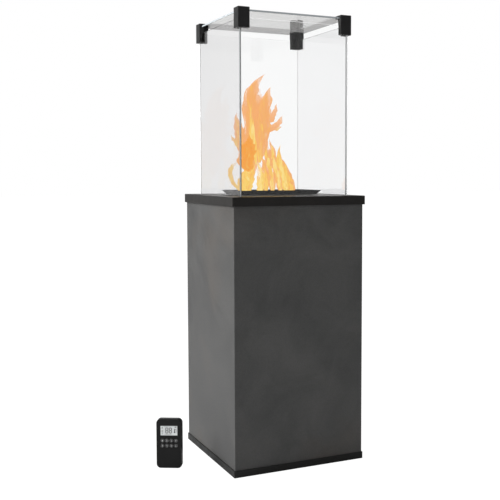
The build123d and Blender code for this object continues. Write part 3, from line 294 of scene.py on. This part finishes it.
# A darker copy of the clip powder coat: painted shade on the rear-right clip and the clip plates.
clip_painted_shade_finish = speckled("clip_black_painted_shade", grey(0.004), grey(0.007),
                         0.5, 0.15, 1500.0, 0.15)
dress(clip_painted_shade_finish, "corner_clip_rear_right", "clip_plates")
screw_finish = brushed("screw_zinc", (0.55, 0.55, 0.54), 0.3, (1, 1, 1))
dress(screw_finish, "frame_screws", "hinge_screws", "hinge_pins", "door_magnets")
dress(brushed("screw_black_oxide", grey(0.03), 0.45, (1, 1, 1)), "clip_screws")
dress(speckled("gasket_silicone", grey(0.015), grey(0.03), 0.7, 0.3, 700.0, 0.1),
      "glass_gasket")

# Finishes of the glass
# Edge tones of the ground glass: a painted lit grey and a painted shaded grey, for one and the same
# glass.
lit_edge_painted_light = (0.84, 0.845, 0.85)
shaded_edge_painted_shade = (0.30, 0.31, 0.315)
ceiling_cut = (0.46, 0.50, 0.52)
clear_tint = (0.995, 0.998, 0.998)
# The side panes are the same clear glass greyed as painted shade, the left pane more than the
# right.
left_pane_painted_shade = (0.895, 0.892, 0.895)
right_pane_painted_shade = (0.94, 0.94, 0.945)
ceiling_tint = (0.50, 0.495, 0.49)
dress(clear_glass("pane_glass_front", "Y", clear_tint, shaded_edge_painted_shade, lit_edge_painted_light), "glass_front")
dress(clear_glass("pane_glass_rear", "Y", clear_tint, lit_edge_painted_light, lit_edge_painted_light), "glass_rear")
dress(clear_glass("pane_glass_left", "X", left_pane_painted_shade, shaded_edge_painted_shade, shaded_edge_painted_shade), "glass_left")
dress(clear_glass("pane_glass_right", "X", right_pane_painted_shade, lit_edge_painted_light, lit_edge_painted_light), "glass_right")
dress(clear_glass("ceiling_glass", "Z", ceiling_tint, ceiling_cut, ceiling_cut), "glass_ceiling")

# Finishes of the burner and the gas train
dress(speckled("tray_heatproof_black", grey(0.008), grey(0.013),
               0.6, 0.2, 900.0, 0.2), "burner_tray")
dress(brushed("burner_stainless", (0.42, 0.39, 0.36), 0.35, (1, 12, 1)),
      "burner_plate", "burner_chamber", "pilot_burner", "thermocouple")
dress(speckled("probe_ceramic", (0.78, 0.76, 0.70), (0.86, 0.84, 0.78), 0.25, 0.5, 600.0, 0.05),
      "spark_electrode")
dress(brushed("pipe_drawn", (0.72, 0.72, 0.70), 0.25, (8, 1, 8)), "burner_pipe", "pilot_pipe")
dress(brushed("brass_turned", (0.78, 0.58, 0.26), 0.25, (1, 1, 10)),
      "gas_injector", "inlet_fitting")
dress(speckled("valve_cast", grey(0.42), grey(0.55), 0.45, 0.5, 500.0, 0.25, 0.9),
      "gas_valve")
dress(speckled("knob_moulded", grey(0.02), grey(0.035), 0.45, 0.45, 900.0, 0.1),
      "flow_knob", "manual_knob")
dress(speckled("receiver_moulded", (0.04, 0.04, 0.042), (0.06, 0.06, 0.062), 0.5, 0.45, 800.0,
               0.15), "receiver_box", "receiver_lid")
dress(speckled("cell_wrapper", (0.09, 0.10, 0.12), (0.14, 0.15, 0.17), 0.3, 0.5, 200.0, 0.02),
      "receiver_batteries", "handset_batteries")

# Finishes of the handset
gloss_finish = speckled("handset_piano_black", grey(0.006), grey(0.008),
                        0.12, 0.15, 300.0, 0.0, coat=0.05)
dress(gloss_finish, "handset_front")
key_finish = speckled("key_gloss_black", grey(0.008), grey(0.011),
                      0.28, 0.45, 600.0, 0.02)
key_nodes = [name for name in nodes if name.startswith("key_")]
dress(key_finish, *key_nodes)
dress(speckled("handset_matt_black", grey(0.014), grey(0.022),
               0.5, 0.4, 1400.0, 0.2), "handset_rear", "handset_hatch")
dress(speckled("screen_pale", (0.72, 0.745, 0.745), (0.78, 0.80, 0.80), 0.2, 0.4, 900.0, 0.0),
      "handset_screen")
dress(speckled("board_green", (0.02, 0.12, 0.06), (0.03, 0.17, 0.08), 0.4, 0.5, 400.0, 0.1),
      "handset_board")

# Flames: tongues of nested shells over the burner plate
flame_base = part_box("burner_plate")[1][2]


def flame_material(name, stops, cover, torn):
    """Glowing gas: tall streaks of deep and pale colour, paler at the root, with torn gaps."""
    material = bpy.data.materials.new(name)
    material.use_nodes = True
    tree, links = material.node_tree.nodes, material.node_tree.links
    shader = tree["Principled BSDF"]
    soot = tuple(channel * 0.03 for channel in stops[1][1])
    shader.inputs["Base Color"].default_value = (*soot, 1.0)
    shader.inputs["Roughness"].default_value = 1.0
    shader.inputs["Specular IOR Level"].default_value = 0.0
    shader.inputs["Emission Strength"].default_value = 1.0
    heights = tree.new("ShaderNodeUVMap")
    split = tree.new("ShaderNodeSeparateXYZ")
    links.new(heights.outputs["UV"], split.inputs["Vector"])
    place = place_coordinates(tree, links, (1, 1, 0.22))
    streaks = noise(tree, links, place, 62.0, 4.0, 0.55, 1.6)
    root = remap(tree, links, split.outputs["X"], 0.0, 0.45, 0.12, -0.03)
    shade = combine(tree, links, "ADD", streaks, root)
    links.new(ramp(tree, links, shade, stops), shader.inputs["Emission Color"])
    tears = noise(tree, links, place, 40.0, 3.0, 0.5, 0.8)
    ragged = remap(tree, links, tears, 0.36, 0.45, cover * torn, cover)
    fade = remap(tree, links, split.outputs["Y"], 0.78, 1.0, 1.0, 0.55)
    links.new(combine(tree, links, "MULTIPLY", ragged, fade), shader.inputs["Alpha"])
    return material


amber = (0.93, 0.36, 0.05)
orange = (0.92, 0.42, 0.15)
golden = (0.95, 0.50, 0.10)
yellow = (0.96, 0.63, 0.14)
lemon = (0.99, 0.76, 0.27)
veil = flame_material("flame_veil", [(0.40, orange), (0.56, orange), (0.70, golden)], 0.82, 0.1)
body = flame_material("flame_body", [(0.36, orange), (0.48, golden), (0.60, yellow)], 0.85, 0.2)
heart = flame_material("flame_heart", [(0.38, amber), (0.56, amber), (0.66, golden)], 0.9, 0.5)
glow = flame_material("flame_glow", [(0.34, golden), (0.47, yellow), (0.60, lemon)], 0.9, 0.2)

# Each tongue: spine points (across, height) and half-widths in millimetres, its depth, and the
# finishes of its outer and inner shells
tongues = {
    "tall": ([(-62, 40), (-64, 120), (-62, 200), (-65, 285), (-52, 338), (-22, 374)],
             [13, 21, 26, 20, 15, 0], 4, (veil, body)),
    "centre": ([(-38, 95), (-32, 165), (-28, 240), (-18, 295), (-3, 333)],
               [10, 20, 24, 15, 0], -4, (veil, body)),
    "saddle": ([(-50, 190), (-47, 250), (-43, 292), (-36, 330)], [14, 17, 13, 0], 0, (veil, None)),
    "heart": ([(-70, 66), (-76, 95), (-72, 128), (-66, 160), (-62, 190)],
              [10, 21, 21, 15, 0], -9, (heart, heart)),
    "streak": ([(-48, 88), (-50, 135), (-58, 185), (-62, 235), (-60, 285)],
               [3, 6, 7, 4, 0], -12, (glow, None)),
    "left_lick": ([(-78, 118), (-94, 152), (-97, 185), (-102, 218), (-104, 252)],
                  [10, 15, 12, 9, 0], 8, (veil, body)),
    "left_spur": ([(-92, 140), (-103, 155), (-113, 168), (-122, 182)],
                  [10, 8, 5, 0], 6, (body, None)),
    "right_lick": ([(-16, 190), (4, 206), (22, 224), (38, 250)],
                   [14, 14, 9, 0], 0, (veil, None)),
    "right_wisp": ([(-8, 222), (4, 248), (16, 284)], [12, 9, 0], 6, (veil, None)),
    "right_spark": ([(14, 196), (22, 206), (32, 212)], [5, 4, 0], 3, (body, None)),
    "root_left": ([(-74, 0), (-80, 26), (-74, 56), (-64, 84), (-58, 112)],
                  [14, 21, 18, 12, 0], -6, (body, glow)),
    "root_slim": ([(-38, 0), (-34, 30), (-37, 66), (-44, 112)], [9, 11, 9, 0], 2, (body, glow)),
    "root_thread": ([(-20, 0), (-18, 36), (-24, 76), (-30, 126)], [6, 8, 7, 0], 12, (veil, body)),
    "root_middle": ([(4, 0), (0, 42), (-8, 86), (-16, 132), (-24, 176)],
                    [8, 11, 11, 10, 0], -2, (veil, glow)),
    "root_right": ([(28, 0), (20, 44), (10, 90), (0, 132), (-8, 172)],
                   [8, 10, 10, 8, 0], 10, (veil, glow)),
    "right_tongue": ([(46, 0), (40, 44), (29, 88), (22, 118), (24, 154)],
                     [9, 11, 9, 6, 0], -10, (body, glow)),
    "right_skirt": ([(61, 0), (61, 26), (50, 58), (38, 90), (30, 114)],
                    [10, 12, 9, 6, 0], 4, (veil, body)),
    "left_loop": ([(-90, 4), (-111, 28), (-124, 62), (-114, 88), (-92, 97)],
                  [4, 6, 6, 6, 3], 0, (body, None)),
}
flame_height = 374
# How tongues sit in the row: x shift for each millimetre of depth, depth given to each listed
# millimetre, and the share by which widths are drawn out
flame_lean = 0.43
depth_share = 2.0
across_share = 0.9
sides, rings = 20, 64
thickness_share = 0.8
least_width = 0.4
# A tongue opens over its foot and closes at its tip
foot_share, foot_rise, tip_power = 0.35, 6, 6
# Sway of the spine: reach in millimetres and turns along the tongue
wide_sway, wide_turns = 2.2, 9
fine_sway, fine_turns = 1.4, 21
# Ragged outline: mean, lobes round the tongue, and barbs up its edges
outline_mean, lobe_reach, lobes, lobe_twist = 0.88, 0.1, 3, 14
barbs, barb_reach, barb_spread, barb_fall, barb_growth = 5.5, 0.5, 0.55, 4, 0.4
# Inner shell: its shift towards the front, its shares of width and height, and its seeds
inner_shift, inner_share, inner_height, inner_seed = 5, 0.55, 0.86, 40


def spline(values, place):
    """Smooth value along a short list, by Catmull-Rom."""
    last = len(values) - 1
    step = min(int(place * last), last - 1)
    t = place * last - step
    before, after = values[max(step - 1, 0)], values[min(step + 2, last)]
    first, second = values[step], values[step + 1]
    bend = 2 * before - 5 * first + 4 * second - after
    twist = 3 * (first - second) + after - before
    return 0.5 * (2 * first + (second - before) * t + bend * t * t + twist * t ** 3)


def flame_shell(name, spine, widths, depth, share, height_share, material, seed):
    """One closed shell of a tongue; share thins it and height_share shortens it."""
    wobble = random.Random(seed)
    phases = [wobble.uniform(0, 2 * math.pi) for _ in range(6)]
    mesh = bmesh.new()
    uv = mesh.loops.layers.uv.new("climb")
    rows = []
    for ring in range(rings + 1):
        t = ring / rings
        along = t * height_share
        across = spline([p[0] for p in spine], along)
        height = spline([p[1] for p in spine], along)
        closing = math.sqrt(max(0.0, 1 - t ** tip_power)) * min(1.0, foot_share + foot_rise * t)
        width = max(least_width, spline(widths, along)) * share * closing
        sway = (wide_sway * math.sin(wide_turns * t + phases[0])
                + fine_sway * math.sin(fine_turns * t + phases[1]))
        row = []
        for side in range(sides):
            angle = 2 * math.pi * side / sides
            lobe = math.sin(lobes * angle + lobe_twist * t + phases[2])
            ragged = outline_mean + lobe_reach * lobe
            tooth = (barbs * t + barb_spread * math.sin(angle + phases[3]) + phases[4]) % 1.0
            ragged += barb_reach * min(tooth, (1 - tooth) * barb_fall) * t ** barb_growth
            out = width * ragged
            y = depth + thickness_share * out * math.sin(angle)
            x = (across + sway * t + out * math.cos(angle) + flame_lean * depth) / across_share
            row.append(mesh.verts.new((x / millimetres, y / millimetres,
                                       flame_base + height / millimetres)))
        rows.append(row)
    for ring in range(rings):
        for side in range(sides):
            after = (side + 1) % sides
            face = mesh.faces.new((rows[ring][side], rows[ring][after],
                                   rows[ring + 1][after], rows[ring + 1][side]))
            face.smooth = True
    mesh.faces.new(list(reversed(rows[0])))
    mesh.faces.new(rows[-1])
    high = max(p[1] for p in spine)
    for face in mesh.faces:
        for loop in face.loops:
            height = (loop.vert.co.z - flame_base) * millimetres
            loop[uv].uv = (height / flame_height, height / high)
    data = bpy.data.meshes.new(name)
    mesh.to_mesh(data)
    mesh.free()
    shell = bpy.data.objects.new(name, data)
    bpy.context.scene.collection.objects.link(shell)
    data.materials.append(material)
    shell.visible_shadow = False
    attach(shell, "cabinet")
    return shell


for number, (name, (spine, widths, row_depth, (outer, inner))) in enumerate(tongues.items()):
    depth = row_depth * depth_share
    flame_shell(f"flame_{name}_outer", spine, widths, depth, 1.0, 1.0, outer, number)
    if inner:
        flame_shell(f"flame_{name}_inner", spine, widths, depth - inner_shift, inner_share,
                    inner_height, inner, number + inner_seed)

# Marks on the handset: a plane on its face, worked out from the key joints
into_face = Vector(joints["key_up_press"]["axis"]).normalized()
face_out = -into_face
face_up = Vector((0, 0, 1))
face_right = face_out.cross(face_up) * -1
mark_lift = 0.00012
mark_thickness = 0.00015
ring_sink, sign_sink = 0.0002, 0.0001


def outward(node):
    """Distance along the face normal of a node's foremost point."""
    return max(vertex.co.dot(face_out) for vertex in nodes[node].data.vertices)


def face_point(origin, right, up, front):
    """A point on the face, from an origin, in metres to the right and up."""
    flat = origin - face_out * origin.dot(face_out)
    return flat + face_right * right + face_up * up + face_out * front


def mark(name, body, origin, front, outlines, material):
    """Thin raised figure from closed outlines in millimetres about the origin."""
    mesh = bmesh.new()
    for outline in outlines:
        bottom = [mesh.verts.new(face_point(origin, x / millimetres, y / millimetres, front))
                  for x, y in outline]
        top = [mesh.verts.new(v.co + face_out * mark_thickness) for v in bottom]
        mesh.faces.new(top)
        mesh.faces.new(list(reversed(bottom)))
        for k in range(len(outline)):
            after = (k + 1) % len(outline)
            mesh.faces.new((bottom[k], bottom[after], top[after], top[k]))
    bmesh.ops.recalc_face_normals(mesh, faces=mesh.faces)
    data = bpy.data.meshes.new(name)
    mesh.to_mesh(data)
    mesh.free()
    piece = bpy.data.objects.new(name, data)
    bpy.context.scene.collection.objects.link(piece)
    data.materials.append(material)
    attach(piece, body)
    return piece


def bar(x1, y1, x2, y2, width):
    """Straight stroke as an outline."""
    along = Vector((x2 - x1, y2 - y1)).normalized()
    side = Vector((-along.y, along.x)) * width / 2
    a, b = Vector((x1, y1)), Vector((x2, y2))
    return [tuple(a - side), tuple(b - side), tuple(b + side), tuple(a + side)]


def arc_bars(x, y, radius, start, end, width, count=10):
    """Stroke along an arc, as short outlines."""
    turns = [math.radians(mix(start, end, k / count)) for k in range(count + 1)]
    points = [(x + radius * math.cos(t), y + radius * math.sin(t)) for t in turns]
    return [bar(*points[k], *points[k + 1], width) for k in range(count)]


def ring_bars(x, y, radius, width, count=28):
    """Closed round stroke."""
    return arc_bars(x, y, radius, 0, 360, width, count)


def disc(x, y, radius, count=16):
    """Round dot."""
    turns = [2 * math.pi * k / count for k in range(count)]
    return [(x + radius * math.cos(t), y + radius * math.sin(t)) for t in turns]


def shifted(outlines, x, y, size=1.0):
    """Outlines moved and scaled."""
    return [[(x + px * size, y + py * size) for px, py in outline] for outline in outlines]


def digit_eight(x, y, width, height, stroke):
    """Seven-segment figure with every bar lit."""
    gap = stroke * 0.35
    left, right = x - width / 2, x + width / 2
    levels = (y - height / 2, y, y + height / 2)
    bars = [bar(left + gap, level, right - gap, level, stroke) for level in levels]
    for side in (left, right):
        for low, high in zip(levels, levels[1:]):
            bars.append(bar(side, low + gap, side, high - gap, stroke))
    return bars


flame_sign = [[(-0.2, -2.0), (1.0, -1.7), (1.6, -0.7), (1.4, 0.4), (0.7, 1.2), (0.5, 2.2),
               (-0.5, 1.3), (-0.4, 0.4), (-1.0, 0.8), (-1.6, -0.4), (-1.2, -1.6)]]
hourglass_sign = [[(-1.3, 1.9), (-1.3, 1.5), (0, 0), (1.3, 1.5), (1.3, 1.9)],
                  [(-1.3, -1.9), (1.3, -1.9), (1.3, -1.5), (0, 0), (-1.3, -1.5)]]
thermometer_sign = [disc(0, -1.5, 0.8), bar(0, -1.2, 0, 1.9, 0.7), bar(0.7, 1.4, 1.4, 1.4, 0.3),
                    bar(0.7, 0.6, 1.4, 0.6, 0.3)]
up_sign = [[(0, 1.9), (-1.5, 0.1), (-0.5, 0.1), (-0.5, -1.8), (0.5, -1.8), (0.5, 0.1), (1.5, 0.1)]]
down_sign = [[(x, -y) for x, y in reversed(up_sign[0])]]
light_sign = [disc(0, 0.3, 1.1), bar(-0.5, -1.2, 0.5, -1.2, 0.4), bar(-0.5, -1.8, 0.5, -1.8, 0.4)]
light_sign += [bar(-2.0, 0.3, -1.5, 0.3, 0.3), bar(1.5, 0.3, 2.0, 0.3, 0.3),
               bar(0, 1.8, 0, 2.3, 0.3)]
mode_sign = [disc(-1.1, 0.9, 0.8), disc(1.1, -0.9, 0.8)]
mode_sign += arc_bars(0, 0, 1.7, 5, 75, 0.35, 5) + arc_bars(0, 0, 1.7, 185, 255, 0.35, 5)
fan_sign = [disc(0, 0, 0.4)]
for turn in (90, 210, 330):
    angle = math.radians(turn)
    fan_sign.append(disc(1.2 * math.cos(angle), 1.2 * math.sin(angle), 0.72, 10))
key_signs = {
    "key_flame": flame_sign, "key_timer": hourglass_sign, "key_temperature": thermometer_sign,
    "key_up": up_sign, "key_light": light_sign, "key_mode": mode_sign, "key_fan": fan_sign,
    "key_down": down_sign,
}
ring_finish = speckled("key_ring_grey", grey(0.26), grey(0.32), 0.5, 0.3,
                       900.0, 0.0)
print_finish = speckled("key_print_pale", grey(0.66), grey(0.74), 0.5, 0.3,
                        900.0, 0.0)
ink_finish = speckled("screen_ink", (0.015, 0.018, 0.02), (0.025, 0.028, 0.03), 0.5, 0.3,
                      900.0, 0.0)
key_ring_radius, key_ring_stroke, key_sign_size = 4.75, 0.45, 1.15
for key, sign in key_signs.items():
    front = outward(key) + mark_lift
    middle = centre(key)
    mark(f"{key}_ring", key, middle, front - ring_sink,
         ring_bars(0, 0, key_ring_radius, key_ring_stroke), ring_finish)
    mark(f"{key}_sign", key, middle, front - sign_sink, shifted(sign, 0, 0, key_sign_size),
         print_finish)

# The screen's figures, in millimetres about its middle
screen_middle = centre("handset_screen")
screen_front = outward("handset_screen")
digit_columns, digit_level = (-6.5, 4.5), 0.5
digit_width, digit_height, digit_stroke = 7.0, 15.5, 2.1
figures = []
for column in digit_columns:
    figures += digit_eight(column, digit_level, digit_width, digit_height, digit_stroke)
thermometer = shifted(thermometer_sign, 17.0, 0.0, 3.1)
level_bars = [bar(21.5, step, 21.5 + 2.6 * (1 - abs(step) / 9), step, 0.9)
              for step in (-5.5, -3.0, -0.5, 2.0, 4.5)]
small_signs = shifted(hourglass_sign, -20.5, -2.0, 1.5) + shifted(flame_sign, -20.5, 8.5, 1.1)
small_signs += shifted(light_sign, -20.5, -9.2, 0.95)
battery = [bar(17.5, 12.2, 22.0, 12.2, 0.5), bar(17.5, 9.8, 22.0, 9.8, 0.5),
           bar(17.5, 9.6, 17.5, 12.4, 0.5), bar(22.0, 9.6, 22.0, 12.4, 0.5),
           bar(22.6, 10.5, 22.6, 11.5, 0.6), bar(18.3, 11.0, 20.6, 11.0, 1.5)]
ticks = [bar(x, 12.0, x + 2.2, 12.0, 0.9) for x in (-14.0, -10.6, -7.2, -3.8)]
ticks += [bar(x, -11.6, x + 1.6, -11.6, 1.0) for x in (-12.0, -9.0, -6.0, -3.0, 0.0, 3.0, 6.0)]
mark("screen_figures", "handset", screen_middle, screen_front, figures, ink_finish)
mark("screen_signs", "handset", screen_middle, screen_front,
     thermometer + level_bars + small_signs + battery + ticks, ink_finish)

# Floor, white surroundings and lamps
floor_seen_share = 0.88
floor_reach, floor_drop = 30.0, 0.0004
floor_finish = bpy.data.materials.new("floor_white")
floor_finish.use_nodes = True
floor_tree, floor_links = floor_finish.node_tree.nodes, floor_finish.node_tree.links
floor_shader = floor_tree["Principled BSDF"]
floor_shader.inputs["Base Color"].default_value = (0.6, 0.6, 0.6, 1.0)
floor_shader.inputs["Roughness"].default_value = 0.9
floor_shader.inputs["Specular IOR Level"].default_value = 0.1
floor_glow = floor_tree.new("ShaderNodeEmission")
floor_glow.inputs["Color"].default_value = (1.0, 1.0, 1.0, 1.0)
floor_glow.inputs["Strength"].default_value = 1.14
floor_mix = floor_tree.new("ShaderNodeMixShader")
floor_paths = floor_tree.new("ShaderNodeLightPath")
floor_seen = seen_directly(floor_tree, floor_links, floor_paths)
floor_share = combine(floor_tree, floor_links, "MULTIPLY", floor_seen, floor_seen_share)
floor_links.new(floor_share, floor_mix.inputs["Fac"])
floor_links.new(floor_shader.outputs["BSDF"], floor_mix.inputs[1])
floor_links.new(floor_glow.outputs["Emission"], floor_mix.inputs[2])
floor_links.new(floor_mix.outputs["Shader"], floor_tree["Material Output"].inputs["Surface"])
floor_mesh = bpy.data.meshes.new("floor")
floor_corners = [(-floor_reach, -floor_reach, 0), (floor_reach, -floor_reach, 0),
                 (floor_reach, floor_reach, 0), (-floor_reach, floor_reach, 0)]
floor_mesh.from_pydata(floor_corners, [], [(0, 1, 2, 3)])
floor = bpy.data.objects.new("floor", floor_mesh)
floor.location.z = -floor_drop
bpy.context.scene.collection.objects.link(floor)
floor_mesh.materials.append(floor_finish)

world = bpy.data.worlds.new("white_room")
bpy.context.scene.world = world
world.use_nodes = True
sky, sky_links = world.node_tree.nodes, world.node_tree.links
backdrop = sky["Background"]
backdrop.inputs["Color"].default_value = (1.0, 1.0, 1.0, 1.0)
sky_place = sky.new("ShaderNodeTexCoord")
sky_split = sky.new("ShaderNodeSeparateXYZ")
sky_links.new(sky_place.outputs["Generated"], sky_split.inputs["Vector"])
# Bright behind and dim in front, full white where it is seen, and dimmer in reflections
sky_front, sky_rear, sky_reflected = 0.17, 1.0, 0.45
sky_level = remap(sky, sky_links, sky_split.outputs["Y"], -0.35, 0.45, sky_front, sky_rear)
sky_paths = sky.new("ShaderNodeLightPath")
sky_seen = seen_directly(sky, sky_links, sky_paths)
sky_shine = remap(sky, sky_links, sky_paths.outputs["Is Glossy Ray"], 0.0, 1.0, 1.0,
                  sky_reflected)
sky_soft = combine(sky, sky_links, "MULTIPLY", sky_level, sky_shine)
sky_strength = combine(sky, sky_links, "MAXIMUM", sky_seen, sky_soft)
sky_links.new(sky_strength, backdrop.inputs["Strength"])


def softbox(name, place, aim, size, power):
    """Square area lamp that looks at a point; size in metres and power in watts."""
    data = bpy.data.lights.new(name, "AREA")
    data.shape = "SQUARE"
    data.size = size
    data.energy = power
    lamp = bpy.data.objects.new(name, data)
    lamp.location = place
    lamp.rotation_euler = (Vector(aim) - Vector(place)).to_track_quat("-Z", "Y").to_euler()
    lamp.visible_glossy = False
    lamp.visible_transmission = False
    bpy.context.scene.collection.objects.link(lamp)


softbox("key_left", (-2.9, 0.4, 2.2), (0, 0, 0.8), 2.0, 138)
softbox("fill_front", (0.8, -3.2, 2.9), (0, 0, 1.0), 2.4, 27)
softbox("top_light", (0, 0.3, 3.6), (0, 0, 0.5), 2.4, 45)

# Camera of the reference view
camera_place = Vector((-1.1220, -2.5452, 0.8904))
camera_turn = 0.4472
camera_dip = 0.0703
focal_pixels = 875.92
centre_x, centre_y = 299.67, 233.76
frame_pixels = 500.0
sensor_width = 36.0
camera_data = bpy.data.cameras.new("camera")
camera_data.sensor_width = sensor_width
camera_data.lens = sensor_width * focal_pixels / frame_pixels
camera_data.shift_x = (frame_pixels / 2 - centre_x) / frame_pixels
camera_data.shift_y = (centre_y - frame_pixels / 2) / frame_pixels
camera_data.clip_end = 100.0
camera = bpy.data.objects.new("camera", camera_data)
camera.location = camera_place
camera.rotation_euler = (math.pi / 2 - camera_dip, 0, -camera_turn)
bpy.context.scene.collection.objects.link(camera)
bpy.context.scene.camera = camera
bpy.context.scene.view_settings.view_transform = "Standard"
